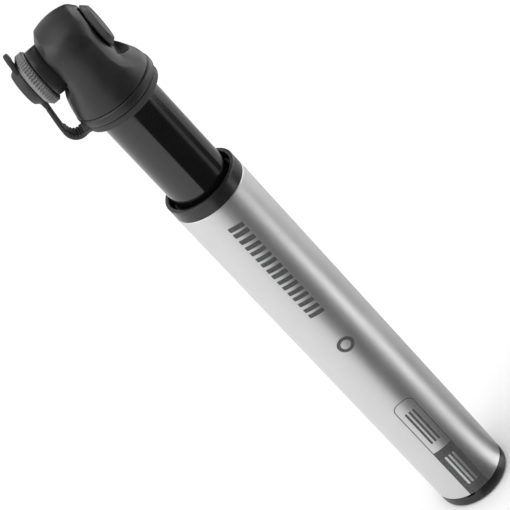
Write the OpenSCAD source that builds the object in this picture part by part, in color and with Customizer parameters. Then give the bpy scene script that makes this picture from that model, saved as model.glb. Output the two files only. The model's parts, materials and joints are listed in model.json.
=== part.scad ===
// Two-stage mini pump for bicycles.
// It stands on its end cap: +Z runs up the barrel to the valve head, the origin is the centre of the
// end cap's base, the valve port points to -X and the stage button to +X.
// Drawn part-way open, with the inner tube out by "opened".

/* [Barrel] */
// Outer diameter of the barrel
barrel_d = 21; // [20.8:0.1:22]
// Wall thickness of the barrel
barrel_wall = 0.8; // [0.6:0.05:0.85]
// Length of the barrel tube without cap and collar
barrel_len = 119.3; // [119:0.1:125]
// Height of the end cap that shows below the barrel
cap_h = 3.9; // [3:0.1:6]
// Height of the collar that shows above the barrel
collar_h = 4; // [3.6:0.1:6]

/* [Inner tube] */
// Outer diameter of the inner tube
tube_d = 16.6; // [16.2:0.1:16.7]
// Wall thickness of the inner tube
tube_wall = 0.8; // [0.6:0.05:1]
// How far the tube stands out between the collar and the head
opened = 30.3; // [20:0.1:40]
// Diameter of the piston rod
rod_d = 6; // [5:0.1:6.4]

/* [Valve head] */
// Outer diameter of the ring under the skirt
ring_d = 22.5; // [22:0.1:23]
// Diameter of the head's round body
body_d = 18.6; // [18.4:0.1:19]
// Distance between the two flat sides
flats = 13.2; // [13.2:0.1:13.6]
// Height of the port axis above the tether ring's underside
port_h = 18.5; // [18.5:0.1:19]
// Diameter of the port's neck
neck_d = 12.8; // [12.6:0.1:13]
// Diameter of the knurled lock ring over its teeth
lock_d = 14.4; // [14.2:0.1:15]
// Number of teeth of the knurl
knurl_n = 54; // [24:2:72]
// Bore of the rubber gland
gland_bore = 7.8; // [7.2:0.1:8]
// Diameter of the stage button
button_d = 12.2; // [11:0.1:13]
// Height of the button's centre above its stem
button_up = 0.5; // [0:0.1:0.8]

/* [Dust cap] */
// Diameter of the dust cap at its base
dust_d = 10.6; // [10:0.1:11]
// Width of the strap and the pull tab
strap_w = 4.6; // [3:0.1:6]
// Thickness of the strap
strap_t = 1.35; // [1:0.05:1.5]

/* [Hidden] */

$fn = 96;
e = 0.05;            // running clearance
br = barrel_d/2;     // barrel, outside
bi = br - barrel_wall;
tr = tube_d/2;       // inner tube, outside
ti = tr - tube_wall;
rr = rod_d/2;
z_bt = cap_h + barrel_len;   // upper end of the barrel tube
z_ct = z_bt + collar_h;      // upper end of the collar
hz = z_ct + opened;          // underside of the tether ring
plug_in = 8.1;               // how deep the end plug reaches into the barrel
z_pt = cap_h + plug_in;      // top of the end plug
sleeve = 6;                  // collar's sleeve inside the barrel
zp = hz + port_h;            // port axis
fx = flats/2;
foot_z = hz - 114.2;         // underside of the tube's foot
foot_h = 9;
head_top = 27.5;             // top of the head above hz
pis_z = 124.5;               // underside of the piston

// Ring or washer with square corners
module washer(ro, ri, z0, z1) translate([0, 0, z0]) difference() {
    cylinder(r = ro, h = z1 - z0);
    translate([0, 0, -1]) cylinder(r = ri, h = z1 - z0 + 2);
}
// O-ring
module oring(rm, r, z) translate([0, 0, z]) rotate_extrude() translate([rm, 0]) circle(r = r, $fn = 32);
// Solid of revolution from [radius, height] pairs
module turned(p) rotate_extrude() polygon(p);
// Local +Z along -X from the port axis, and along +X towards the button
module port_side() translate([0, 0, zp]) rotate([0, -90, 0]) children();
module button_side() translate([0, 0, zp]) rotate([0, 90, 0]) children();
// Points of a rounded corner: centre, radius, first and last angle
function corner(c, r, a0, a1, n = 6) = [for (i = [0:n]) let (a = a0 + (a1 - a0)*i/n) [c[0] + r*cos(a), c[1] + r*sin(a)]];

// ---- barrel side ----
module barrel_tube() color("silver") turned([
    [bi + 0.2, cap_h], [br - 0.15, cap_h], [br, cap_h + 0.15],
    [br, z_bt - 0.35], [br - 0.35, z_bt], [bi + 0.1, z_bt], [bi, z_bt - 0.1], [bi, cap_h + 0.2]]);

module end_cap() color([0.12, 0.12, 0.13]) difference() {
    turned(concat([[0, 0]], corner([br - 1.1, 1.05], 1.05, -90, 0),
        [[br - 0.06, cap_h], [bi - 0.03, cap_h], [bi - 0.03, z_pt - 0.5], [bi - 0.5, z_pt], [0, z_pt]]));
    // groove of the O-ring
    washer(br, bi - 1.9, cap_h + 3, cap_h + 4.9);
    // seat of the piston rod
    translate([0, 0, 5]) cylinder(r = rr + 0.02, h = z_pt);
    // air slot under the barrel's edge
    translate([-4.1, -br - 1, cap_h - 0.75]) cube([2.1, 2.2, 0.75]);
}
module end_cap_oring() color([0.1, 0.1, 0.1]) oring(bi - 0.95, 0.9, cap_h + 3.95);
module end_bumper() color([0.15, 0.15, 0.15]) washer(bi - 1.2, rr + 0.1, z_pt, z_pt + 1);

module barrel_collar() color([0.1, 0.1, 0.11]) turned([
    [br - 0.08, z_bt], [br - 0.08, z_ct - 0.35], [br - 0.4, z_ct], [br - 1, z_ct], [br - 1.15, z_ct - 0.15],
    [br - 1.15, z_bt + 0.8], [bi - 0.7, z_bt + 0.8], [bi - 0.7, z_bt - sleeve], [bi - 0.02, z_bt - sleeve], [bi - 0.02, z_bt]]);
module guide_bush() color([0.85, 0.84, 0.8]) washer(bi - 0.72, tr + e, z_bt - sleeve, z_bt + 0.75);
module wiper_ring() color([0.08, 0.08, 0.08]) turned([
    [tr + 0.04, z_bt + 0.8], [br - 1.17, z_bt + 0.8], [br - 1.17, z_bt + 1.3], [tr + 0.5, z_bt + 2.1], [tr + 0.04, z_bt + 2.1]]);

module piston_rod() color([0.7, 0.7, 0.72]) union() {
    translate([0, 0, 5]) cylinder(r = rr, h = pis_z - 5);
    translate([0, 0, pis_z - 0.01]) cylinder(r = rr - 1, h = 11.01);
}
module piston_head() color([0.2, 0.2, 0.22]) difference() {
    translate([0, 0, pis_z]) cylinder(r = ti - 0.08, h = 7);
    translate([0, 0, pis_z - 1]) cylinder(r = rr - 0.98, h = 10);
    washer(ti + 1, ti - 2, pis_z + 2.4, pis_z + 4.6);
}
module piston_seal() color([0.08, 0.08, 0.08]) turned([
    [ti - 1.98, pis_z + 2.42], [ti - 0.6, pis_z + 2.42], [ti - 0.03, pis_z + 4.2], [ti - 0.03, pis_z + 4.58], [ti - 1.98, pis_z + 4.58]]);
module piston_nut() color([0.6, 0.6, 0.62]) difference() {
    translate([0, 0, pis_z + 7]) cylinder(r = 3.6, h = 3, $fn = 6);
    translate([0, 0, pis_z + 6]) cylinder(r = rr - 0.98, h = 5);
}

// ---- head side ----
module inner_tube() color([0.06, 0.06, 0.07]) turned([
    [ti, foot_z + foot_h], [tr, foot_z + foot_h], [tr, hz + 8.65], [tr - 0.3, hz + 8.95], [ti, hz + 8.95]]);
module tube_foot() color([0.25, 0.25, 0.27]) difference() {
    union() {
        translate([0, 0, foot_z]) cylinder(r = bi - 0.08, h = foot_h);
        translate([0, 0, foot_z + foot_h - 0.01]) cylinder(r = ti - e, h = 5.71);
    }
    translate([0, 0, foot_z - 1]) cylinder(r = rr + 0.06, h = 20);
    washer(bi + 1, bi - 2.1, foot_z + 3.2, foot_z + 5.6);
    translate([0, 0, foot_z + 9.5]) cylinder(r = rr + 1.6, h = 2.2);
}
module foot_seal() color([0.08, 0.08, 0.08]) turned([
    [bi - 2.08, foot_z + 3.22], [bi - 0.7, foot_z + 3.22], [bi - 0.03, foot_z + 5.1], [bi - 0.03, foot_z + 5.58], [bi - 2.08, foot_z + 5.58]]);
module rod_seal() color([0.08, 0.08, 0.08]) washer(rr + 1.58, rr + 0.02, foot_z + 9.52, foot_z + 11.68);

// Outline of the skirt, body and domed top of the head
head_pts = concat(
    [[0, 4.7], [ring_d/2 - 0.45, 4.7], [ring_d/2 - 0.2, 4.95], [10.9, 5.4], [10.62, 6.7], [10.4, 8],
     [10.13, 9.3], [9.83, 10.6], [body_d/2 + 0.27, 12], [body_d/2 + 0.1, 13.3], [body_d/2, 14.6], [body_d/2, 21.2]],
    corner([body_d/2 - 3.2, 21.4], 3.2, 0, 62, 5), [[5.6, 26.1], [3.8, 26.9], [1.9, 27.35], [0, head_top]]);
// Outline of the flat sides with the shoulder below them
side_pts = [[11, 4], [10.9, 5.4], [10.4, 7.3], [10.0, 8.6], [9.4, 9.9], [8.85, 11.2], [8.3, 12.4], [7.8, 13.4], [7.2, 14.4], [fx, 15.1], [fx, 24.6],
    [5, 26.6], [3, 29]];

module head_body() color([0.16, 0.16, 0.17]) difference() {
    translate([0, 0, hz]) intersection() {
        turned(head_pts);
        translate([0, 15, 0]) rotate([90, 0, 0]) linear_extrude(height = 30)
            polygon(concat(side_pts, [for (i = [len(side_pts) - 1:-1:0]) [-side_pts[i][0], side_pts[i][1]]]));
    }
    // socket of the inner tube, with the O-ring's groove
    translate([0, 0, hz + 4]) cylinder(r = tr + 0.03, h = 5);
    washer(tr + 1, tr - 1, hz + 6.3, hz + 8.1);
    // pocket of the check valve and its passage
    translate([0, 0, hz + 8.5]) cylinder(r = 2.8, h = 6.9, $fn = 48);
    translate([0, 0, hz + 15]) cylinder(r = 0.8, h = 2, $fn = 24);
    // port, gallery and the button's bore
    port_side() translate([0, 0, 4.4]) cylinder(r = 5.93, h = 12);
    port_side() translate([0, 0, 0.5]) cylinder(r = 1.3, h = 5, $fn = 32);
    button_side() translate([0, 0, -0.9]) cylinder(r = 2.6, h = 12, $fn = 48);
    button_side() translate([0, 0, 5]) cylinder(r = 3.82, h = 12, $fn = 48);
    // round hollows in the shoulders, below the button and the neck
    for (s = [0, 1]) mirror([s, 0, 0]) translate([fx + 0.3, 0, hz + 14.9]) rotate([0, 90, 0]) cylinder(r = 5.2, h = 6);
    // clearance under the neck
    port_side() translate([0, 0, fx]) cylinder(r = neck_d/2 + 0.02, h = 6);
    button_side() translate([-button_up, 0, fx]) cylinder(r = button_d/2 + 0.3, h = 6);
}
module head_ring() color([0.13, 0.13, 0.14]) turned(concat(
    [[tr + 0.03, 2.05 + hz], [ring_d/2 - 0.5, 2.05 + hz]],
    corner([ring_d/2 - 0.75, 2.85 + hz], 0.75, -70, 0, 4), corner([ring_d/2 - 0.75, 3.85 + hz], 0.75, 0, 80, 4),
    [[tr + 0.03, 4.65 + hz]]));
module tether_ring() color([0.2, 0.2, 0.2]) turned([
    [tr + 0.02, hz], [ring_d/2 - 0.8, hz], [ring_d/2 - 0.49, hz + 0.3], [ring_d/2 - 0.49, hz + 1.75], [ring_d/2 - 0.8, hz + 2], [tr + 0.02, hz + 2]]);

// Centre line of the strap from the ring up to the cap, as [x, height above hz]
strap_path = [[-ring_d/2 + 0.4, 0.9], [-11.1, 0.9], [-11.75, 0.55], [-12.6, 0.3], [-13.7, 0.55], [-14.6, 1.25], [-15.15, 2.3], [-15.32, 3.4],
    [-15.2, 5.3], [-14.95, 7.4], [-14.65, 9.6], [-14.35, 11.6], [-14.15, 13.12]];
function nrm(p, i) = let (a = p[max(i - 1, 0)], b = p[min(i + 1, len(p) - 1)], d = b - a) [-d[1], d[0]]/norm(d);
module tether_strap() color([0.2, 0.2, 0.2]) translate([0, strap_w/2, hz]) rotate([90, 0, 0]) linear_extrude(height = strap_w)
    polygon(concat([for (i = [0:len(strap_path) - 1]) strap_path[i] + nrm(strap_path, i)*strap_t/2],
        [for (i = [len(strap_path) - 1:-1:0]) strap_path[i] - nrm(strap_path, i)*strap_t/2]));
module tube_oring() color([0.08, 0.08, 0.08]) washer(tr + 0.98, tr + 0.02, hz + 6.35, hz + 8.05);

module chuck_neck() color([0.1, 0.1, 0.1]) port_side() turned([
    [5, 4.45], [5.9, 4.45], [5.9, fx], [neck_d/2, fx], [neck_d/2, 9.8], [neck_d/2 - 0.2, 10],
    [5.55, 10], [5.55, 12.1], [5.35, 12.3], [5, 12.3]]);
module valve_gland() color([0.05, 0.05, 0.05]) port_side() turned([
    [gland_bore/2, 5.7], [4.95, 5.7], [4.95, 12.4], [4.35, 12.4], [4.35, 12.1], [gland_bore/2, 12]]);
module chuck_insert() color([0.75, 0.65, 0.35]) port_side() washer(4.95, 1.3, 4.5, 5.68);
module check_seat() color([0.75, 0.65, 0.35]) washer(2.78, 1.2, hz + 8.97, hz + 12.1);

// Coil spring of the check valve, swept along its helix
spring_r = 1.5; wire_r = 0.2; spring_z0 = 13.15 + 0.22; spring_z1 = 15.4 - 0.24; turns = 3; seg = 20; sides = 6;
function coil(k) = let (t = k/seg, a = 360*t) [spring_r*cos(a), spring_r*sin(a), spring_z0 + (spring_z1 - spring_z0)*t/turns];
module check_spring() color([0.7, 0.7, 0.72]) translate([0, 0, hz]) polyhedron(
    points = [for (k = [0:seg*turns]) let (c = coil(k), a = 360*k/seg)
        for (j = [0:sides - 1]) let (q = 360*j/sides) c + wire_r*[cos(q)*cos(a), cos(q)*sin(a), sin(q)]],
    faces = concat([[for (j = [0:sides - 1]) j]], [[for (j = [sides - 1:-1:0]) seg*turns*sides + j]],
        [for (k = [0:seg*turns - 1]) for (j = [0:sides - 1])
            [k*sides + j, (k + 1)*sides + j, (k + 1)*sides + (j + 1)%sides, k*sides + (j + 1)%sides]]));
module check_poppet() color([0.55, 0.1, 0.1]) translate([0, 0, hz]) turned([
    [0, 11.6], [0.6, 11.6], [1.1, 12.15], [2.1, 12.15], [2.1, 12.75], [1.8, 13.1], [0, 13.1]]);

// ---- moving pieces of the head ----
module lock_ring() color([0.55, 0.55, 0.56]) port_side() difference() {
    union() {
        // knurled band
        translate([0, 0, 10.45]) linear_extrude(height = 1.85)
            polygon([for (i = [0:2*knurl_n - 1]) let (a = 180*i/knurl_n, r = lock_d/2 - (i%2)*0.22) [r*cos(a), r*sin(a)]]);
        translate([0, 0, 10.1]) cylinder(r1 = lock_d/2 - 0.6, r2 = lock_d/2 - 0.25, h = 0.36);
        translate([0, 0, 12.29]) cylinder(r1 = lock_d/2 - 0.25, r2 = lock_d/2 - 1.1, h = 0.91);
    }
    translate([0, 0, 9]) cylinder(r = 5.6, h = 3.48);
    translate([0, 0, 12]) cylinder(r = 4.7, h = 3);
}
module dust_cap() color([0.2, 0.2, 0.2]) difference() {
    union() {
        port_side() turned([[0, 12.15], [3.2, 12.15], [3.5, 12.4], [3.5, 13.35], [dust_d/2, 13.35], [dust_d/2, 14.4],
            [dust_d/2 - 0.8, 15.7], [dust_d/2 - 1, 15.9], [0, 15.9]]);
        // pull tab, leaning over the lock ring
        translate([0, 0, zp]) intersection() {
            translate([0, 4, 0]) rotate([90, 0, 0]) linear_extrude(height = 8) polygon([[-14.4, 2], [-13.35, 2], [-13.35, 6.05],
                [-12.95, 7], [-12.85, 8], [-12.8, 10.5], [-13.95, 10.5], [-14.1, 7.5], [-14.3, 5.5]]);
            union() {
                translate([-15, -strap_w/2, 1]) cube([3, strap_w, 6.4]);
                translate([-15, 0, 7.4]) rotate([0, 90, 0]) cylinder(r = strap_w/2, h = 3);
            }
        }
    }
    // hollow of the cap's face
    port_side() translate([0, 0, 15.6]) cylinder(r = 3.2, h = 1);
}
module selector_button() color([0.14, 0.14, 0.15]) button_side() difference() {
    translate([-button_up, 0, 0]) turned([[0, 6.95], [button_d/2 - 0.15, 6.95], [button_d/2, 7.1], [button_d/2, 7.6], [button_d/2 - 1, 8.6],
        [button_d/2 - 1.6, 8.6], [button_d/2 - 1.8, 8.45], [0, 8.45]]);
    translate([0, 0, 6.5]) cylinder(r = 1.52, h = 1.35);
}
module selector_spool() color([0.6, 0.6, 0.6]) button_side() turned([
    [0, -0.6], [2.5, -0.6], [2.5, -0.2], [1.7, -0.2], [1.7, 0.7], [2.5, 0.7], [2.5, 1.1], [1.7, 1.1], [1.7, 2], [2.5, 2],
    [2.5, 2.4], [2, 2.4], [2, 6.93], [1.5, 6.93], [1.5, 7.8], [0, 7.8]]);
module selector_orings() color([0.08, 0.08, 0.08]) button_side() {
    oring(2.15, 0.42, 0.25);
    oring(2.15, 0.42, 1.55);
}
module selector_bush() color([0.3, 0.3, 0.32]) button_side() washer(3.8, 2.05, 5.02, fx - 0.05);

barrel_tube();
end_cap();
end_cap_oring();
end_bumper();
barrel_collar();
guide_bush();
wiper_ring();
piston_rod();
piston_head();
piston_seal();
piston_nut();
inner_tube();
tube_foot();
foot_seal();
rod_seal();
head_body();
head_ring();
tether_ring();
tether_strap();
tube_oring();
chuck_neck();
valve_gland();
chuck_insert();
check_seat();
check_spring();
selector_bush();
lock_ring();
dust_cap();
selector_button();
selector_spool();
selector_orings();
check_poppet();
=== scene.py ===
import bpy, json, math
import numpy as np
from mathutils import Matrix, Vector


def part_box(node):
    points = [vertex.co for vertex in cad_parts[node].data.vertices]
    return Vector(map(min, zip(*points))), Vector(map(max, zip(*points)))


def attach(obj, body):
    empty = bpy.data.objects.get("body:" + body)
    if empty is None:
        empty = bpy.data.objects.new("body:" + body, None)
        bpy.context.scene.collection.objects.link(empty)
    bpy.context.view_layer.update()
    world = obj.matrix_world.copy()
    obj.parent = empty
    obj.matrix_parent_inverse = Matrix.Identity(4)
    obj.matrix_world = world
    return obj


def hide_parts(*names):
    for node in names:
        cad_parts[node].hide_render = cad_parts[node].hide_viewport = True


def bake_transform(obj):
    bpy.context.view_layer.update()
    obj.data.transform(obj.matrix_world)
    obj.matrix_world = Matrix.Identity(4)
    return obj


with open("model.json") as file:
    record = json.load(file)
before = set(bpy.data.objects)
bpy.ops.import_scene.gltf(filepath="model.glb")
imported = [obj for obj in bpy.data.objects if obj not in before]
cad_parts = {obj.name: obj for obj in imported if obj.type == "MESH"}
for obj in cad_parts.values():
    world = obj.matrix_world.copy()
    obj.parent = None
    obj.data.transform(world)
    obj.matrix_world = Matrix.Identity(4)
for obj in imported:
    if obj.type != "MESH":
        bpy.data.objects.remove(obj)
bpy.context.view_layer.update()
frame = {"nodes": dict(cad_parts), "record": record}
NODES = frame["nodes"]
MM = 0.001

# ------------------------------------------------------------------ stations of the CAD model, in mm
Z_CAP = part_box("barrel_tube")[0].z / MM          # cap / barrel edge
Z_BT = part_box("barrel_tube")[1].z / MM           # barrel / collar edge
Z_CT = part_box("barrel_collar")[1].z / MM         # top of the collar
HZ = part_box("tether_ring")[0].z / MM             # underside of the tether ring
ZP = HZ + 18.5                                   # port axis
BR, TR, RR = 10.5, 8.3, 11.25


# ------------------------------------------------------------------ mesh helpers
def make_obj(name, verts, faces, smooth=True):
    """verts in mm."""
    me = bpy.data.meshes.new(name)
    me.from_pydata((np.asarray(verts, float) * MM).tolist(), [], [list(map(int, f)) for f in faces])
    me.validate()
    me.update()
    if smooth:
        me.polygons.foreach_set("use_smooth", np.ones(len(me.polygons), bool))
    ob = bpy.data.objects.new(name, me)
    bpy.context.scene.collection.objects.link(ob)
    return ob


def filleted(points, n=5, closed=False, pad=0.12):
    """points: (r, z) or (r, z, radius). Returns a polyline with round corners and support points beside them."""
    pts = [(p[0], p[1], p[2] if len(p) > 2 else 0.0) for p in points]
    out = []
    N = len(pts)
    for i, (x, y, rad) in enumerate(pts):
        if (not closed and i in (0, N - 1)) or rad <= 0:
            out.append((x, y))
            continue
        p = np.array([x, y])
        a = np.array(pts[i - 1][:2]) - p
        b = np.array(pts[(i + 1) % N][:2]) - p
        la, lb = np.linalg.norm(a), np.linalg.norm(b)
        a, b = a / la, b / lb
        ang = math.acos(max(-1, min(1, float(a @ b))))
        if ang > math.pi - 0.02:
            out.append((x, y))
            continue
        t = min(rad / math.tan(ang / 2), la * 0.48, lb * 0.48)
        rad2 = t * math.tan(ang / 2)
        mid = (a + b) / np.linalg.norm(a + b)
        c = p + mid * rad2 / math.sin(ang / 2)
        s, e = p + a * t, p + b * t
        if pad and la - t > 3 * pad:
            out.append(tuple(s + a * min(pad, t)))
        v0, v1 = s - c, e - c
        a0, a1 = math.atan2(v0[1], v0[0]), math.atan2(v1[1], v1[0])
        d = (a1 - a0 + math.pi) % (2 * math.pi) - math.pi
        for k in range(n + 1):
            q = a0 + d * k / n
            out.append((c[0] + rad2 * math.cos(q), c[1] + rad2 * math.sin(q)))
        if pad and lb - t > 3 * pad:
            out.append(tuple(e + b * min(pad, t)))
    return out


def split_long(prof, longest):
    out = [prof[0]]
    for p in prof[1:]:
        q = out[-1]
        d = math.hypot(p[0] - q[0], p[1] - q[1])
        k = max(1, int(math.ceil(d / longest)))
        for i in range(1, k + 1):
            out.append((q[0] + (p[0] - q[0]) * i / k, q[1] + (p[1] - q[1]) * i / k))
    return out


def lathe(name, prof, segs=192, closed=False, mod=None, place=None, longest=None):
    """Revolves (r, z) about Z. place: maps an array of local points to the row frame. mod(r, z, theta) -> r."""
    if closed:
        prof = list(prof) + [prof[0]]
    if longest:
        prof = split_long(prof, longest)
    if closed:
        prof = prof[:-1]
    th = np.arange(segs) * 2 * math.pi / segs
    verts, rings = [], []
    for r, z in prof:
        if r < 1e-6:
            rings.append([len(verts)])
            verts.append((0, 0, z))
            continue
        rr = np.full(segs, r) if mod is None else mod(r, z, th)
        base = len(verts)
        verts += list(zip(rr * np.cos(th), rr * np.sin(th), np.full(segs, z)))
        rings.append(list(range(base, base + segs)))
    faces = []
    pairs = list(zip(rings[:-1], rings[1:])) + ([(rings[-1], rings[0])] if closed else [])
    for a, b in pairs:
        if len(a) == 1 and len(b) == 1:
            continue
        for j in range(segs):
            k = (j + 1) % segs
            if len(a) == 1:
                faces.append((a[0], b[k], b[j]))
            elif len(b) == 1:
                faces.append((a[j], a[k], b[0]))
            else:
                faces.append((a[j], a[k], b[k], b[j]))
    v = np.array(verts, float)
    if place is not None:
        v = place(v)
    ob = make_obj(name, v, faces)
    fix_normals(ob)
    return ob


def fix_normals(ob):
    import bmesh
    bm = bmesh.new()
    bm.from_mesh(ob.data)
    bmesh.ops.recalc_face_normals(bm, faces=bm.faces)
    bm.to_mesh(ob.data)
    bm.free()


def port_place(v):      # local +Z runs along -X from the port axis
    return np.stack([-v[:, 2], v[:, 1], v[:, 0] + ZP], 1)


def button_place(v):    # local +Z runs along +X
    return np.stack([v[:, 2], v[:, 1], -v[:, 0] + ZP + 0.5], 1)


# ------------------------------------------------------------------ implicit shapes
def smin(a, b, k):
    h = np.clip(0.5 + 0.5 * (b - a) / k, 0, 1)
    return b + (a - b) * h - k * h * (1 - h)


def smax(a, b, k):
    return -smin(-a, -b, k)


def chamfer_max(a, b, c, k):
    """max of a and b with a flat bevel of size c, its edges rounded by k."""
    return smax(smax(a, b, k), (a + b) * 0.70710678 + c, k)


def cyl_x(p, z0, r, x0, x1, k=0.3):
    d = np.hypot(p[:, 1], p[:, 2] - z0) - r
    e = np.abs(p[:, 0] - (x0 + x1) / 2) - abs(x1 - x0) / 2
    return smax(d, e, k)


def box_sdf(p, c, h, rad):
    q = np.abs(p - np.array(c)) - (np.array(h) - rad)
    return np.linalg.norm(np.maximum(q, 0), axis=1) + np.minimum(q.max(1), 0) - rad


def iso_mesh(name, f, lo, hi, step, newton=4):
    """Surface nets of f < 0 inside the box lo..hi, then pulled onto f = 0."""
    lo, hi = np.array(lo, float), np.array(hi, float)
    n = np.ceil((hi - lo) / step).astype(int) + 1
    ax = [lo[i] + step * np.arange(n[i]) for i in range(3)]
    X, Y, Z = np.meshgrid(*ax, indexing="ij")
    F = f(np.stack([X.ravel(), Y.ravel(), Z.ravel()], 1)).reshape(n)
    S = F < 0
    # cells that the surface crosses
    c = np.zeros((n[0] - 1, n[1] - 1, n[2] - 1), int)
    for i in (0, 1):
        for j in (0, 1):
            for k in (0, 1):
                c += S[i:n[0] - 1 + i, j:n[1] - 1 + j, k:n[2] - 1 + k]
    act = (c > 0) & (c < 8)
    idx = -np.ones(act.shape, int)
    cells = np.argwhere(act)
    idx[act] = np.arange(len(cells))
    acc = np.zeros((len(cells), 3))
    cnt = np.zeros(len(cells))
    corners = [(i, j, k) for i in (0, 1) for j in (0, 1) for k in (0, 1)]
    for a in corners:
        for d in range(3):
            if a[d] == 1:
                continue
            b = list(a)
            b[d] = 1
            A, B = cells + a, cells + b
            fa, fb = F[A[:, 0], A[:, 1], A[:, 2]], F[B[:, 0], B[:, 1], B[:, 2]]
            cross = (fa < 0) != (fb < 0)
            t = np.where(cross, fa / np.where(cross, fa - fb, 1), 0)
            p = A.astype(float)
            p[:, d] += t
            acc[cross] += p[cross]
            cnt[cross] += 1
    verts = lo + step * acc / cnt[:, None]
    faces = []
    for d in range(3):
        o = [0, 1, 2]
        o.remove(d)
        u, w = o
        sl0 = [slice(None)] * 3
        sl1 = [slice(None)] * 3
        sl0[d], sl1[d] = slice(0, n[d] - 1), slice(1, n[d])
        e = S[tuple(sl0)] != S[tuple(sl1)]
        E = np.argwhere(e)
        E = E[(E[:, u] > 0) & (E[:, w] > 0) & (E[:, u] < n[u] - 1) & (E[:, w] < n[w] - 1)]
        inside = S[E[:, 0], E[:, 1], E[:, 2]]
        q = []
        for du, dw in ((-1, -1), (0, -1), (0, 0), (-1, 0)):
            C = E.copy()
            C[:, u] += du
            C[:, w] += dw
            q.append(idx[C[:, 0], C[:, 1], C[:, 2]])
        q = np.stack(q, 1)
        flip = inside if d != 1 else ~inside
        q[~flip] = q[~flip][:, ::-1]
        faces.append(q)
    faces = np.concatenate(faces)
    for _ in range(newton):
        h = 0.01
        f0 = f(verts)
        g = np.stack([(f(verts + np.eye(3)[i] * h) - f(verts - np.eye(3)[i] * h)) / (2 * h) for i in range(3)], 1)
        g2 = np.maximum((g * g).sum(1), 0.05)
        stepv = -g * (f0 / g2)[:, None]
        ln = np.linalg.norm(stepv, axis=1)
        stepv *= np.minimum(1, step * 0.6 / np.maximum(ln, 1e-9))[:, None]
        verts = verts + stepv * 0.9
    ob = make_obj(name, verts, faces)
    fix_normals(ob)
    return ob


def curve_fn(pts):
    """Smooth monotone curve through (x, y) points, as a function on arrays."""
    x = np.array([p[0] for p in pts], float)
    y = np.array([p[1] for p in pts], float)
    d = np.diff(y) / np.diff(x)
    m = np.zeros_like(y)
    m[0], m[-1] = d[0], d[-1]
    for i in range(1, len(x) - 1):
        m[i] = 0 if d[i - 1] * d[i] <= 0 else 2 * d[i - 1] * d[i] / (d[i - 1] + d[i])

    def fn(q):
        q = np.clip(q, x[0], x[-1])
        i = np.clip(np.searchsorted(x, q) - 1, 0, len(x) - 2)
        h = x[i + 1] - x[i]
        t = (q - x[i]) / h
        return ((2 * t ** 3 - 3 * t ** 2 + 1) * y[i] + (t ** 3 - 2 * t ** 2 + t) * h * m[i]
                + (-2 * t ** 3 + 3 * t ** 2) * y[i + 1] + (t ** 3 - t ** 2) * h * m[i + 1])
    return fn


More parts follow.
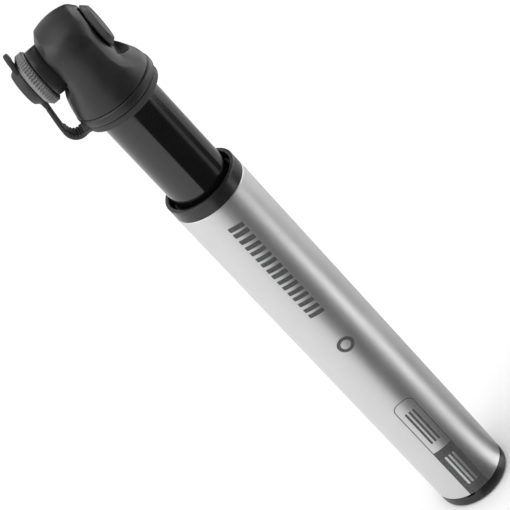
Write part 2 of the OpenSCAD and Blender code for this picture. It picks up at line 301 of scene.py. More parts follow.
# ------------------------------------------------------------------ materials
def material(name, base, rough, metallic=0.0, ior=1.5, tint=0.1, mottle=180.0, grain=2500.0, bump=0.15,
             bump_mm=0.02, rough_var=0.08, edge=0.0, edge_wear_highlight_col=None, aniso_rings=None, coat=0.0, coat_rough=0.1,
             extra=None):
    """Procedural finish in the row frame's own coordinates: mottled colour, grain, roughness, and lighter sharp edges,
    partly edge wear and partly a painted edge highlight.
    """
    m = bpy.data.materials.new(name)
    m.use_nodes = True
    nt = m.node_tree
    nd, lk = nt.nodes, nt.links
    b = nd["Principled BSDF"]
    b.inputs["Metallic"].default_value = metallic
    b.inputs["IOR"].default_value = ior
    if coat:
        b.inputs["Coat Weight"].default_value = coat
        b.inputs["Coat Roughness"].default_value = coat_rough
    tc = nd.new("ShaderNodeTexCoord")
    n1 = nd.new("ShaderNodeTexNoise")
    n1.inputs["Scale"].default_value = mottle
    n1.inputs["Detail"].default_value = 5
    n1.inputs["Roughness"].default_value = 0.6
    lk.new(tc.outputs["Object"], n1.inputs["Vector"])
    n2 = nd.new("ShaderNodeTexNoise")
    n2.inputs["Scale"].default_value = grain
    n2.inputs["Detail"].default_value = 3
    n2.inputs["Roughness"].default_value = 0.65
    lk.new(tc.outputs["Object"], n2.inputs["Vector"])
    # colour
    c = np.array(base, float)
    lo, hi = tuple(c * (1 - tint)) + (1,), tuple(np.minimum(c * (1 + tint), 1)) + (1,)
    mx = nd.new("ShaderNodeMix")
    mx.data_type = "RGBA"
    mx.inputs["A"].default_value = lo
    mx.inputs["B"].default_value = hi
    add = nd.new("ShaderNodeMath")
    add.operation = "ADD"
    s1 = nd.new("ShaderNodeMath"); s1.operation = "MULTIPLY"; s1.inputs[1].default_value = 0.55
    s2 = nd.new("ShaderNodeMath"); s2.operation = "MULTIPLY"; s2.inputs[1].default_value = 0.45
    lk.new(n1.outputs["Fac"], s1.inputs[0])
    lk.new(n2.outputs["Fac"], s2.inputs[0])
    lk.new(s1.outputs[0], add.inputs[0])
    lk.new(s2.outputs[0], add.inputs[1])
    st = nd.new("ShaderNodeMapRange")
    st.inputs["From Min"].default_value = 0.35
    st.inputs["From Max"].default_value = 0.65
    lk.new(add.outputs[0], st.inputs["Value"])
    lk.new(st.outputs["Result"], mx.inputs["Factor"])
    col = mx.outputs["Result"]
    # painted highlight: sharp edges, found by pointiness, are lightened towards the edge colour and made patchy by the
    # mottle; this stands for worn edges and also for an edge highlight
    if edge > 0:
        geo = nd.new("ShaderNodeNewGeometry")
        er = nd.new("ShaderNodeMapRange")
        er.inputs["From Min"].default_value = 0.53
        er.inputs["From Max"].default_value = 0.62
        er.inputs["To Max"].default_value = edge
        lk.new(geo.outputs["Pointiness"], er.inputs["Value"])
        wn = nd.new("ShaderNodeMath"); wn.operation = "MULTIPLY"
        lk.new(er.outputs["Result"], wn.inputs[0])
        lk.new(st.outputs["Result"], wn.inputs[1])
        em = nd.new("ShaderNodeMix"); em.data_type = "RGBA"
        em.inputs["B"].default_value = tuple(edge_wear_highlight_col or (c * 2.2 + 0.02)) + (1,)
        lk.new(wn.outputs[0], em.inputs["Factor"])
        lk.new(col, em.inputs["A"])
        col = em.outputs["Result"]
    # roughness
    rr = nd.new("ShaderNodeMapRange")
    rr.inputs["From Min"].default_value = 0.3
    rr.inputs["From Max"].default_value = 0.7
    rr.inputs["To Min"].default_value = max(0.02, rough - rough_var)
    rr.inputs["To Max"].default_value = min(1.0, rough + rough_var)
    lk.new(n1.outputs["Fac"], rr.inputs["Value"])
    rsock = rr.outputs["Result"]
    # bump
    bp = nd.new("ShaderNodeBump")
    bp.inputs["Strength"].default_value = bump
    bp.inputs["Distance"].default_value = bump_mm * MM
    hsock = n2.outputs["Fac"]
    if aniso_rings:
        axis, scale, amount = aniso_rings
        w = nd.new("ShaderNodeTexWave")
        w.wave_type = "BANDS"
        w.bands_direction = axis
        w.inputs["Scale"].default_value = scale
        w.inputs["Distortion"].default_value = 0.6
        w.inputs["Detail"].default_value = 3
        w.inputs["Detail Scale"].default_value = 4
        lk.new(tc.outputs["Object"], w.inputs["Vector"])
        mm = nd.new("ShaderNodeMath"); mm.operation = "MULTIPLY_ADD"
        mm.inputs[1].default_value = amount
        lk.new(w.outputs["Fac"], mm.inputs[0])
        lk.new(n2.outputs["Fac"], mm.inputs[2])
        hsock = mm.outputs[0]
    lk.new(hsock, bp.inputs["Height"])
    if extra:
        col, rsock = extra(m, nd, lk, tc, col, rsock, b)
    lk.new(col, b.inputs["Base Color"])
    lk.new(rsock, b.inputs["Roughness"])
    lk.new(bp.outputs["Normal"], b.inputs["Normal"])
    return m


def print_marks(m, nd, lk, tc, col, rsock, b):
    """Plain printed marks on the barrel's -Y side: slanted blocks, a ring, and a framed panel. Object space, in mm."""
    def math_node(op, a, c=None, clamp=False):
        n = nd.new("ShaderNodeMath")
        n.operation = op
        n.use_clamp = clamp
        for i, q in enumerate((a, c)):
            if q is None:
                continue
            if isinstance(q, (int, float)):
                n.inputs[i].default_value = q
            else:
                lk.new(q, n.inputs[i])
        return n.outputs[0]
    sep = nd.new("ShaderNodeSeparateXYZ")
    lk.new(tc.outputs["Object"], sep.inputs[0])
    neg_y = math_node("MULTIPLY", sep.outputs["Y"], -1.0)
    ang = math_node("ARCTAN2", sep.outputs["X"], neg_y)
    u = math_node("MULTIPLY", ang, BR)                      # mm around the barrel from -Y
    z = math_node("MULTIPLY", sep.outputs["Z"], 1000.0)     # mm along the barrel

    def box_d(cu, cz, hu, hz, rad, slant=0.0):
        """distance to a rounded box, in mm"""
        du = math_node("SUBTRACT", u, cu)
        zz = math_node("SUBTRACT", z, cz)
        if slant:
            zz = math_node("ADD", zz, math_node("MULTIPLY", du, slant))
        qx = math_node("SUBTRACT", math_node("ABSOLUTE", du), hu - rad)
        qy = math_node("SUBTRACT", math_node("ABSOLUTE", zz), hz - rad)
        mx_, my_ = math_node("MAXIMUM", qx, 0.0), math_node("MAXIMUM", qy, 0.0)
        ln = math_node("SQRT", math_node("ADD", math_node("MULTIPLY", mx_, mx_), math_node("MULTIPLY", my_, my_)))
        ins = math_node("MINIMUM", math_node("MAXIMUM", qx, qy), 0.0)
        return math_node("SUBTRACT", math_node("ADD", ln, ins), rad)

    def cover(d):
        """1 inside, 0 outside, over 0.06 mm"""
        n = nd.new("ShaderNodeMapRange")
        n.inputs["From Min"].default_value = 0.03
        n.inputs["From Max"].default_value = -0.03
        lk.new(d, n.inputs["Value"])
        return n.outputs["Result"]
    mask = None
    for cu, cz, hu, hz_, rad, sl in MARKS:
        q = cover(box_d(cu, cz, hu, hz_, rad, sl))
        mask = q if mask is None else math_node("MAXIMUM", mask, q)
    # ring
    du, dz = math_node("SUBTRACT", u, RING[0]), math_node("SUBTRACT", z, RING[1])
    rd = math_node("SQRT", math_node("ADD", math_node("MULTIPLY", du, du), math_node("MULTIPLY", dz, dz)))
    ring = cover(math_node("SUBTRACT", math_node("ABSOLUTE", math_node("SUBTRACT", rd, RING[2])), RING[3]))
    mask = math_node("MAXIMUM", mask, ring)
    # framed panel: outline, and its lower part filled
    pd = box_d(*PANEL)
    frame_line = cover(math_node("SUBTRACT", math_node("ABSOLUTE", math_node("ADD", pd, 0.14)), 0.14))
    inside = cover(pd)
    below = nd.new("ShaderNodeMapRange")
    below.inputs["From Min"].default_value = PANEL_SPLIT + 0.03
    below.inputs["From Max"].default_value = PANEL_SPLIT - 0.03
    lk.new(z, below.inputs["Value"])
    fill = math_node("MULTIPLY", inside, below.outputs["Result"])
    lights = None
    for q in PANEL_LIGHT:
        cc = cover(box_d(*q))
        lights = cc if lights is None else math_node("MAXIMUM", lights, cc)
    fill = math_node("MULTIPLY", fill, math_node("SUBTRACT", 1.0, lights))
    mask = math_node("MAXIMUM", mask, math_node("MAXIMUM", frame_line, fill))
    for q in PANEL_DARK:
        mask = math_node("MAXIMUM", mask, cover(box_d(*q)))
    front = math_node("GREATER_THAN", neg_y, 0.0)
    mask = math_node("MULTIPLY", mask, front)
    # a little of the grain shows through the ink
    nz = nd.new("ShaderNodeTexNoise")
    nz.inputs["Scale"].default_value = 3500
    nz.inputs["Detail"].default_value = 3
    lk.new(tc.outputs["Object"], nz.inputs["Vector"])
    thin = nd.new("ShaderNodeMapRange")
    thin.inputs["From Min"].default_value = 0.35
    thin.inputs["From Max"].default_value = 0.75
    thin.inputs["To Min"].default_value = 1.0
    thin.inputs["To Max"].default_value = 0.86
    lk.new(nz.outputs["Fac"], thin.inputs["Value"])
    mask = math_node("MULTIPLY", mask, thin.outputs["Result"])
    mx = nd.new("ShaderNodeMix"); mx.data_type = "RGBA"
    mx.inputs["B"].default_value = (0.035, 0.035, 0.038, 1)
    lk.new(mask, mx.inputs["Factor"])
    lk.new(col, mx.inputs["A"])
    rm = nd.new("ShaderNodeMix"); rm.data_type = "FLOAT"
    rm.inputs[3].default_value = 0.5
    lk.new(mask, rm.inputs[0])
    lk.new(rsock, rm.inputs[2])
    me = math_node("SUBTRACT", 1.0, math_node("MULTIPLY", mask, 0.9))
    lk.new(me, b.inputs["Metallic"])
    return mx.outputs["Result"], rm.outputs[0]


# plain marks, (centre around, centre along, half width around, half length along, corner, slant), in mm
MARKS = []
_z = 116.8
for _w, _g in ((1.5, 0.7), (1.5, 1.0), (1.5, 0.95), (1.35, 0.8), (1.35, 1.0), (1.35, 0.8), (1.35, 1.0), (1.5, 0.7), (1.5, 1.0), (1.35, 0.8), (1.35, 1.0),
               (1.35, 0.8), (1.35, 1.0), (1.4, 1.0), (1.35, 0.8), (1.35, 1.0)):
    MARKS.append((0.0, _z - _w / 2, 2.05, _w / 2, 0.3, 0.2))
    _z -= _w + _g
RING = (0.0, 68.6, 1.9, 0.5)
PANEL = (0, 20.4, 3.2, 23.0, 2.5)
PANEL_SPLIT = 22.9
PANEL_LIGHT = [(0.0, 13.6, 0.32, 6.2, 0.3), (1.2, 13.6, 0.32, 6.2, 0.3), (-1.2, 13.6, 0.32, 6.2, 0.3)]
PANEL_DARK = [(0.0, 32.6, 0.32, 6.6, 0.3), (1.2, 32.6, 0.32, 6.6, 0.3), (-1.2, 32.6, 0.32, 6.6, 0.3)]

M = {}
M["silver_anodised"] = material("satin_aluminium", (0.63, 0.63, 0.63), 0.45, metallic=1.0, tint=0.035, mottle=90,
                                grain=5200, bump=0.30, bump_mm=0.008, rough_var=0.03, edge=0.6, edge_wear_highlight_col=(0.93, 0.93, 0.93),
                                extra=print_marks)
M["black_plastic"] = material("black_plastic", (0.009, 0.009, 0.0092), 0.40, tint=0.2, grain=4200, bump=0.25, bump_mm=0.012,
                              edge=0.3)
M["collar_black"] = material("collar_black", (0.010, 0.010, 0.0105), 0.30, tint=0.15, grain=3800, bump=0.15, bump_mm=0.01,
                             edge=0.4, aniso_rings=("Z", 1400, 0.5))
M["head_plastic"] = material("head_plastic", (0.011, 0.011, 0.0112), 0.42, tint=0.18, mottle=260, grain=3600, bump=0.35,
                             bump_mm=0.02, edge=0.35)
M["tether_rubber"] = material("tether_rubber", (0.022, 0.022, 0.023), 0.58, tint=0.2, mottle=300, grain=3000, bump=0.3,
                              bump_mm=0.02, edge=0.3)
M["seal_rubber"] = material("seal_rubber", (0.014, 0.014, 0.014), 0.5, tint=0.2, grain=2600, bump=0.2)
M["white_plastic"] = material("bush_acetal", (0.72, 0.71, 0.67), 0.4, tint=0.05, grain=1800, bump=0.1, aniso_rings=("Z", 900, 0.6))
M["grey_plastic"] = material("grey_plastic", (0.1, 0.1, 0.105), 0.45, tint=0.12, grain=2500, bump=0.2)
M["rod_aluminium"] = material("drawn_aluminium", (0.68, 0.68, 0.69), 0.25, metallic=1.0, tint=0.04, grain=2200, bump=0.15,
                              bump_mm=0.006, aniso_rings=("Z", 1600, 0.5))
M["black_anodised"] = material("gloss_black_anodised", (0.0042, 0.0042, 0.0045), 0.11, ior=1.60, tint=0.25, mottle=60, grain=1500,
                               bump=0.05, bump_mm=0.004, rough_var=0.025, edge=0.3)
M["neck_black"] = material("turned_black", (0.014, 0.014, 0.015), 0.36, tint=0.2, grain=2600, bump=0.15, bump_mm=0.01,
                           aniso_rings=("X", 1500, 0.9))
M["grey_anodised"] = material("grey_anodised", (0.22, 0.22, 0.222), 0.42, metallic=0.85, tint=0.08, grain=4200, bump=0.2,
                              bump_mm=0.01, edge=0.5, edge_wear_highlight_col=(0.5, 0.5, 0.5))
M["steel"] = material("bright_steel", (0.6, 0.6, 0.62), 0.22, metallic=1.0, tint=0.05, grain=2000, bump=0.1)
M["brass"] = material("turned_brass", (0.72, 0.55, 0.26), 0.28, metallic=1.0, tint=0.06, grain=2200, bump=0.12,
                      aniso_rings=("Z", 900, 0.5))

SLOT = {s["node"]: s["material_slot"] for s in frame["record"]["subparts"]}
for name, ob in NODES.items():
    ob.data.materials.clear()
    ob.data.materials.append(M[SLOT[name]])


def dress(ob, slot, body, *nodes, mat=None):
    ob.data.materials.clear()
    ob.data.materials.append(mat or M[slot])
    if body:
        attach(ob, body)
    if nodes:
        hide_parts(*nodes)
    return ob


# ------------------------------------------------------------------ barrel side
bi = BR - 0.8
dress(lathe("barrel_sleeve", filleted([
    (BR, Z_CAP, 0.18), (BR, Z_BT, 0.30), (bi, Z_BT, 0.1), (bi, Z_CAP, 0.1)], n=5, closed=True), segs=256, closed=True, longest=6),
    "silver_anodised", "barrel", "barrel_tube")

# end cap: rounded lower edge, air slot under the barrel's edge
def cap_shape(p):
    r = np.hypot(p[:, 0], p[:, 1])
    z = p[:, 2]
    body = smax(r - (BR - 0.06), np.abs(z - Z_CAP / 2) - Z_CAP / 2, 0.02)
    # round lower edge of radius 1.1
    q = np.stack([r - (BR - 0.06 - 1.1), -(z - 1.1)], 1)
    corner = np.linalg.norm(np.maximum(q, 0), axis=1) + np.minimum(q.max(1), 0) - 1.1
    body = smax(body, corner, 0.02)
    slot_ = box_sdf(p, (-3.05, -BR, Z_CAP - 0.30), (1.05, 1.9, 0.42), 0.1)
    ring = smax(np.abs(r - 6.4) - 0.28, z - 0.22, 0.1)       # turned groove in the base
    return smax(smax(body, -slot_, 0.08), -ring, 0.08)


dress(iso_mesh("end_plug", cap_shape, (-10.8, -10.8, -0.35), (10.8, 10.8, Z_CAP + 0.3), 0.2), "black_plastic", "barrel", "end_cap")

# collar: flush rim, deep recess round the tube
dress(lathe("collar", filleted([
    (BR - 0.06, Z_BT + 0.02, 0.12), (BR - 0.06, Z_CT, 0.32), (BR - 1.15, Z_CT, 0.22), (BR - 1.15, Z_BT + 0.9, 0.1), (TR + 0.05, Z_BT + 0.9),
    (TR + 0.05, Z_BT + 0.02)], n=5, closed=True), segs=256, closed=True), "collar_black", "barrel", "barrel_collar")
dress(lathe("wiper_lip", filleted([
    (TR + 0.04, Z_BT + 0.95), (BR - 1.17, Z_BT + 0.95), (BR - 1.17, Z_BT + 1.3, 0.1), (TR + 0.5, Z_BT + 2.1, 0.2), (TR + 0.04, Z_BT + 2.1, 0.1)],
    n=4, closed=True), segs=192, closed=True), "seal_rubber", "barrel", "wiper_ring")

# ------------------------------------------------------------------ head side
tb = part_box("inner_tube")
dress(lathe("stem_tube", filleted([
    (TR, tb[0].z / MM, 0.1), (TR, tb[1].z / MM, 0.1), (TR - 0.8, tb[1].z / MM, 0.1), (TR - 0.8, tb[0].z / MM, 0.1)], n=3, closed=True),
    segs=256, closed=True, longest=6), "black_anodised", "head", "inner_tube")

dress(lathe("tether_band", filleted([
    (TR + 0.02, HZ, 0.1), (RR - 0.49, HZ, 0.45), (RR - 0.49, HZ + 1.98, 0.4), (TR + 0.02, HZ + 1.98, 0.1)], n=5, closed=True), segs=256, closed=True),
    "tether_rubber", "head", "tether_ring")
dress(lathe("skirt_bead", filleted([
    (TR + 0.03, HZ + 2.05), (RR, HZ + 2.05, 0.85), (RR, HZ + 4.66, 0.95), (TR + 0.03, HZ + 4.66)], n=9, closed=True), segs=256, closed=True),
    "head_plastic", "head", "head_ring")

# valve head body
R_F = curve_fn([(4.4, 10.85), (4.9, 10.95), (5.6, 10.85), (6.7, 10.62), (8.0, 10.4), (9.3, 10.13), (10.6, 9.83), (12.0, 9.57), (13.3, 9.4),
                (14.6, 9.32), (16, 9.3), (30, 9.3)])
TOP = 27.6


def u_shape(y, z, half, bottom, rad):
    """Distance inside a U of the YZ plane, open at the top."""
    a, b = np.abs(y) - (half - rad), (bottom + rad) - z
    return rad - np.hypot(np.maximum(a, 0), np.maximum(b, 0)) - np.minimum(np.maximum(a, b), 0)


def head_shape(p):
    x, y, z = p[:, 0], p[:, 1], p[:, 2] - HZ
    ax = np.abs(x)
    r = np.hypot(x, y)
    F = (r - R_F(z)) * 0.96
    # sloping rim round each side pocket
    rim = F + np.where(x < 0, 0.14, 0.36) * u_shape(y, 6.7 + (z - 6.7) * 0.7, 7.9, 6.7, 3.2) - np.maximum(0, 3.0 - ax)
    F = smax(F, rim, 0.05)
    F = smax(F, (z - (TOP + 0.75 - x ** 2 / 26.0 - y ** 2 / 17.0)) / np.sqrt(1 + (x / 13.0) ** 2 + (y / 8.5) ** 2), 2.3)
    # flat of the pocket, its lower step, and the round hollow under it
    flat = (ax - 6.6 - smax(0 * z, (15.0 - z) * 1.6, 0.5)) * 0.9
    s = smax(F, flat, 0.14)
    s = smax(s, ax * 0.8 + (z + y ** 2 / 17.0) * 0.6 - (4.9 * 0.8 + 27.45 * 0.6), 0.12)
    s = smax(s, -smax(np.hypot(y, z - 14.9) - 5.4, 6.75 - ax, 0.4), 0.2)
    s = smax(s, -(z - 4.72), 0.15)
    # clearance round the neck and the button
    s = smax(s, -cyl_x(p, ZP, 6.42, -13, -6.62, 0.05), 0.12)
    s = smax(s, -cyl_x(p, ZP + 0.5, 6.4, 6.62, 13, 0.05), 0.12)
    # seat of the tube, port and button openings
    s = smax(s, -smax(r - (TR + 0.03), z - 9.0, 0.05), 0.12)
    s = smax(s, -cyl_x(p, ZP, 5.95, -12, -4.4, 0.05), 0.12)
    s = smax(s, -cyl_x(p, ZP, 3.82, 5.0, 12, 0.05), 0.12)
    s = smax(s, -cyl_x(p, ZP, 2.6, -0.9, 12, 0.05), 0.05)
    s = smax(s, -smax(r - 2.8, z - 15.4, 0.05), 0.05)
    return s


dress(iso_mesh("valve_head", head_shape, (-11.4, -11.6, HZ + 4.3), (11.4, 11.6, HZ + 29.2), 0.2), "head_plastic", "head", "head_body")

# neck of the port
dress(lathe("port_neck", filleted([
    (5.0, 4.45), (5.9, 4.45, 0.1), (5.9, 6.45), (6.4, 6.45), (6.4, 10.0, 0.22), (5.55, 10.0), (5.55, 12.3, 0.2), (5.0, 12.3, 0.1)], n=4, closed=True),
    segs=192, closed=True, place=port_place), "neck_black", "head", "chuck_neck")

# knurled lock ring
KN = 54


def knurl(r, z, th):
    if r > 6.9 and 10.42 < z < 12.36:
        t = (th * KN / (2 * math.pi)) % 1.0
        tooth = np.abs(2 * t - 1)
        prof = np.clip((tooth - 0.18) / 0.5, 0, 1)
        depth = 0.26
        fade = min(1.0, (z - 10.42) / 0.12, (12.36 - z) / 0.12)
        return r - depth * (1 - prof) * fade
    return np.full_like(th, r)


lock_prof = [(r_, z_ - 0.3) for r_, z_ in (
    (5.6, 10.4), (6.55, 10.4), (6.75, 10.46), (6.92, 10.60), (6.98, 10.7), (7.0, 10.73), (7.2, 10.86), (7.2, 11.1), (7.2, 11.4), (7.2, 11.7),
    (7.2, 12.0), (7.2, 12.3), (7.2, 12.52), (7.0, 12.65), (6.98, 12.68), (6.94, 12.74), (6.84, 12.84), (6.2, 13.40), (6.08, 13.47), (5.94, 13.5),
    (5.0, 13.5), (4.8, 13.45), (4.7, 13.35), (4.7, 12.78), (5.6, 12.78))]
dress(lathe("knurled_ring", lock_prof, segs=KN * 10, closed=True, mod=knurl, place=port_place), "grey_anodised", "lock_ring", "lock_ring")


# dust cap: disc with a chamfered rim, pull tab at the top, root of the strap at the bottom
def cap_rubber(p):
    x, y, z = p[:, 0], p[:, 1], p[:, 2]
    r = np.hypot(y, z - ZP)
    d = -x                                             # distance along the port
    disc = smax(r - 5.3, np.abs(d - 14.62) - 1.27, 0.25)
    cone = (r - (5.25 - (d - 14.45) * 0.62)) * 0.85
    disc = smax(disc, cone, 0.35)
    plug = smax(r - 3.5, np.abs(d - 13.0) - 0.83, 0.25)
    dish = smax(r - 2.9, -(d - 15.62), 0.25)
    s = smin(disc, plug, 0.12)
    # tab, leaning over the ring
    h = z - ZP
    cx = np.interp(h, [2.0, 5.0, 6.2, 7.2, 10.0], [-13.9, -13.9, -13.82, -13.58, -13.38])
    rr = np.hypot(y, np.maximum(h - 7.4, 0) + np.minimum(h - 2.5, 0))
    t = smax(rr - 2.3, np.abs(x - cx) - 0.6, 0.35)
    s = smin(s, t, 0.30)
    root = box_sdf(p, (-14.22, 0, ZP - 5.3), (0.66, 2.3, 1.3), 0.3)
    s = smin(s, root, 0.5)
    return smax(s, -dish, 0.2)


dress(iso_mesh("rubber_cap", cap_rubber, (-16.4, -5.9, ZP - 7.2), (-11.6, 5.9, ZP + 10.6), 0.16), "tether_rubber", "dust_cap", "dust_cap")


# strap: ribbed on its inner side where it bends
def strap():
    ctrl = np.array([(-8.6, 1.05), (-9.5, 1.0), (-10.6, 0.86), (-11.7, 0.48), (-12.6, 0.28), (-13.6, 0.5), (-14.5, 1.15), (-15.1, 2.2), (-15.33, 3.4),
                     (-15.22, 5.2), (-14.98, 7.2), (-14.7, 9.2), (-14.42, 11.2), (-14.2, 12.6)])
    # Catmull-Rom through the control points
    pts = []
    for i in range(1, len(ctrl) - 2):
        p0, p1, p2, p3 = ctrl[i - 1], ctrl[i], ctrl[i + 1], ctrl[i + 2]
        for k in range(24):
            t = k / 24
            pts.append(0.5 * ((2 * p1) + (-p0 + p2) * t + (2 * p0 - 5 * p1 + 4 * p2 - p3) * t * t + (-p0 + 3 * p1 - 3 * p2 + p3) * t ** 3))
    pts = np.array(pts)
    s = np.concatenate([[0], np.cumsum(np.linalg.norm(np.diff(pts, axis=0), axis=1))])
    tot = s[-1]
    q = np.arange(0, tot, 0.07)
    P = np.stack([np.interp(q, s, pts[:, 0]), np.interp(q, s, pts[:, 1])], 1)
    T = np.gradient(P, axis=0)
    T /= np.linalg.norm(T, axis=1)[:, None]
    Nn = np.stack([T[:, 1], -T[:, 0]], 1)               # points to the inner side, towards the head
    verts, n = [], 28
    for i in range(len(P)):
        w = 2.3 + 1.9 * math.exp(-(q[i] / 1.9) ** 2)
        th_in = 0.55
        if 2.4 < q[i] < 8.6:
            ph = (q[i] - 2.4) / 1.03 % 1.0
            th_in += 0.42 * max(0.0, math.sin(math.pi * ph)) ** 0.7 - 0.02
        th_out = 0.62
        for j in range(n):
            a = 2 * math.pi * j / n
            ca, sa = math.cos(a), math.sin(a)
            e = 0.32
            cy = w * math.copysign(abs(ca) ** e, ca)
            cn = math.copysign(abs(sa) ** e, sa)
            cn = cn * (th_in if cn > 0 else th_out)
            pt = P[i] + Nn[i] * cn
            verts.append((pt[0], cy, pt[1] + HZ))
    faces = []
    m = len(P)
    for i in range(m - 1):
        for j in range(n):
            k = (j + 1) % n
            faces.append((i * n + j, i * n + k, (i + 1) * n + k, (i + 1) * n + j))
    faces.append(list(range(n)))
    faces.append([(m - 1) * n + j for j in reversed(range(n))])
    ob = make_obj("tether_strap_ribbed", verts, faces)
    fix_normals(ob)
    return ob


st = strap()
dress(st, "tether_rubber", None, "tether_strap")
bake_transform(st)



# coil spring of the check valve, shortened by the disc under it
def spring(turns=3, seg=24, sides=10, rad=1.5, wire=0.2, z0=13.37, z1=15.16):
    verts, faces = [], []
    m = turns * seg
    for i in range(m + 1):
        a = 2 * math.pi * i / seg
        z = HZ + z0 + (z1 - z0) * i / m
        for j in range(sides):
            q = 2 * math.pi * j / sides
            rr = rad + wire * math.cos(q)
            verts.append((rr * math.cos(a), rr * math.sin(a), z + wire * math.sin(q)))
    for i in range(m):
        for j in range(sides):
            k = (j + 1) % sides
            faces.append((i * sides + j, i * sides + k, (i + 1) * sides + k, (i + 1) * sides + j))
    faces.append(list(range(sides)))
    faces.append([m * sides + j for j in reversed(range(sides))])
    ob = make_obj("valve_spring", verts, faces)
    fix_normals(ob)
    return ob


sp = spring()
dress(sp, SLOT["check_spring"], None, "check_spring")
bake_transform(sp)

# stage button: a disc with a dished face
dress(lathe("stage_knob", filleted([
    (0, 6.96), (6.1, 6.96, 0.15), (6.1, 7.25, 0.14), (4.85, 8.6, 0.2), (4.55, 8.6, 0.12), (4.3, 8.44, 0.12), (0, 8.44)], n=5), segs=192, place=button_place),
    "head_plastic", "stage_button", "selector_button")

# ------------------------------------------------------------------ floor, light and camera
TAU, AZ, ROLL = math.radians(31.65), math.radians(7.0), math.radians(46.816)
U0 = Vector((math.cos(AZ), math.sin(AZ), 0))
MP = Vector((-math.sin(AZ), math.cos(AZ), 0))
Bv = Vector((0, 0, -1))
D = math.sin(TAU) * Bv + math.cos(TAU) * MP
V0 = math.cos(TAU) * Bv - math.sin(TAU) * MP
right = math.sin(ROLL) * U0 + math.cos(ROLL) * V0
down = -math.cos(ROLL) * U0 + math.sin(ROLL) * V0
loc = Vector((0, 0, 0.1003)) - 0.002551 * U0 - 0.5701 * D
cam_data = bpy.data.cameras.new("camera")
cam_data.lens = 160.1
cam_data.sensor_width = 36.0
cam_data.clip_start = 0.01
cam_data.clip_end = 20
cam = bpy.data.objects.new("camera", cam_data)
rot = Matrix((right, -down, -D)).transposed()
cam.matrix_world = Matrix.Translation(loc) @ rot.to_4x4()
bpy.context.scene.collection.objects.link(cam)
bpy.context.scene.camera = cam


def plain(name, colour, rough=0.7, strength=0.0):
    m = bpy.data.materials.new(name)
    m.use_nodes = True
    b = m.node_tree.nodes["Principled BSDF"]
    b.inputs["Base Color"].default_value = tuple(colour) + (1,)
    b.inputs["Roughness"].default_value = rough
    if strength:
        b.inputs["Emission Color"].default_value = (1, 1, 1, 1)
        b.inputs["Emission Strength"].default_value = strength
    return m


floor = make_obj("floor", [(-4000, -4000, 0), (4000, -4000, 0), (4000, 4000, 0), (-4000, 4000, 0)], [(0, 1, 2, 3)], smooth=False)
floor.data.materials.append(plain("floor_white", (0.93, 0.93, 0.93), 0.9))

# black flag lying on the floor to the right of the camera, seen only in reflections
CAMDIR = math.atan2(-math.cos(AZ), math.sin(AZ))


def sector(name, a0, a1, r0, r1, z, n=40):
    vs, fs = [], []
    for i in range(n + 1):
        a = CAMDIR + math.radians(a0 + (a1 - a0) * i / n)
        vs += [(r0 * math.cos(a), r0 * math.sin(a), z), (r1 * math.cos(a), r1 * math.sin(a), z)]
    for i in range(n):
        fs.append((2 * i, 2 * i + 1, 2 * i + 3, 2 * i + 2))
    return make_obj(name, vs, fs, smooth=False)


CARDS = [("flag_near", -13, 53, 70, 214, 0.05), ("flag_low", -13, 46, 11.6, 70, 0.05), ("flag_mid", -13, 60, 214, 318, 0.02),
         ("flag_far", -20, 66, 318, 1500, 0.17),
         ("strip_a", 46, 70, 11.6, 70, 1.6), ("strip_b", 53, 71, 70, 214, 3.0), ("strip_c", 60, 75, 214, 318, 0.42),
         ("flag_b", 75, 98, 214, 318, 0.05), ("flag_d", 70, 98, 11.6, 214, 0.05),
         ("card_near", 98, 178, 11.6, 214, 0.55), ("card_mid", 98, 178, 214, 318, 0.55),
         ("card_far", 66, 150, 318, 1500, 1.9), ("flag_c", 150, 178, 318, 1500, 0.10)]
WALLS = [("wall_left", -118, -74, 0, 0, 1.3), ("wall_a", -20, 66, 0, 0, 0.05), ("wall_b", 66, 150, 0, 0, 1.6), ("wall_c", 150, 178, 0, 0, 0.10)]


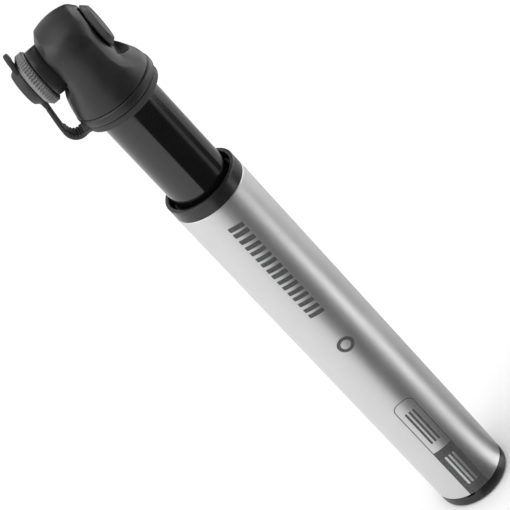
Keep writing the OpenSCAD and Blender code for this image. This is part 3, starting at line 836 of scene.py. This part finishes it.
def wall(name, a0, a1, r, z0, z1, n=24):
    vs, fs = [], []
    for i in range(n + 1):
        a = CAMDIR + math.radians(a0 + (a1 - a0) * i / n)
        vs += [(r * math.cos(a), r * math.sin(a), z0), (r * math.cos(a), r * math.sin(a), z1)]
    for i in range(n):
        fs.append((2 * i, 2 * i + 1, 2 * i + 3, 2 * i + 2))
    return make_obj(name, vs, fs, smooth=False)


for cname, a0, a1, r0, r1, glow in CARDS + WALLS:
    card = wall(cname, a0, a1, 450, 0.7, 1500 if cname == "wall_a" else 430) if cname.startswith("wall") else sector(cname, a0, a1, r0, r1, 0.6)
    card.data.materials.append(plain(cname + "_finish", (0.004, 0.004, 0.004), 0.95, glow))
    card.visible_camera = False
    card.visible_diffuse = False
    card.visible_shadow = False

world = bpy.data.worlds.new("studio")
bpy.context.scene.world = world
world.use_nodes = True
world.node_tree.nodes["Background"].inputs["Color"].default_value = (1, 1, 1, 1)
world.node_tree.nodes["Background"].inputs["Strength"].default_value = 0.85


def area(name, az, el, dist, size, power, target=(0, 0, 0.1)):
    a = CAMDIR + math.radians(az)
    e = math.radians(el)
    t = Vector(target)
    p = t + dist * Vector((math.cos(a) * math.cos(e), math.sin(a) * math.cos(e), math.sin(e)))
    l = bpy.data.lights.new(name, "AREA")
    l.shape = "RECTANGLE"
    l.size, l.size_y = size
    l.energy = power
    o = bpy.data.objects.new(name, l)
    o.matrix_world = Matrix.Translation(p) @ (t - p).to_track_quat("-Z", "Y").to_matrix().to_4x4()
    bpy.context.scene.collection.objects.link(o)
    return o


area("key_left", -75, 42, 1.3, (0.9, 0.9), 5.6)
area("fill_top", -20, 80, 1.4, (1.0, 1.0), 3.4)
# dark ceiling over the right half, for reflections only
ceil = make_obj("ceiling_flag", [(30, -300, 640), (2500, -1800, 640), (2500, 1800, 640), (30, 1800, 640)], [(0, 1, 2, 3)], smooth=False)
ceil.data.materials.append(plain("ceiling_finish", (0.004, 0.004, 0.004), 0.95, 0.25))
ceil.visible_camera = False
ceil.visible_diffuse = False
ceil.visible_shadow = False

sc = bpy.context.scene
sc.view_settings.view_transform = "Standard"
sc.view_settings.look = "None"
sc.view_settings.exposure = 0.0
sc.view_settings.gamma = 1.0
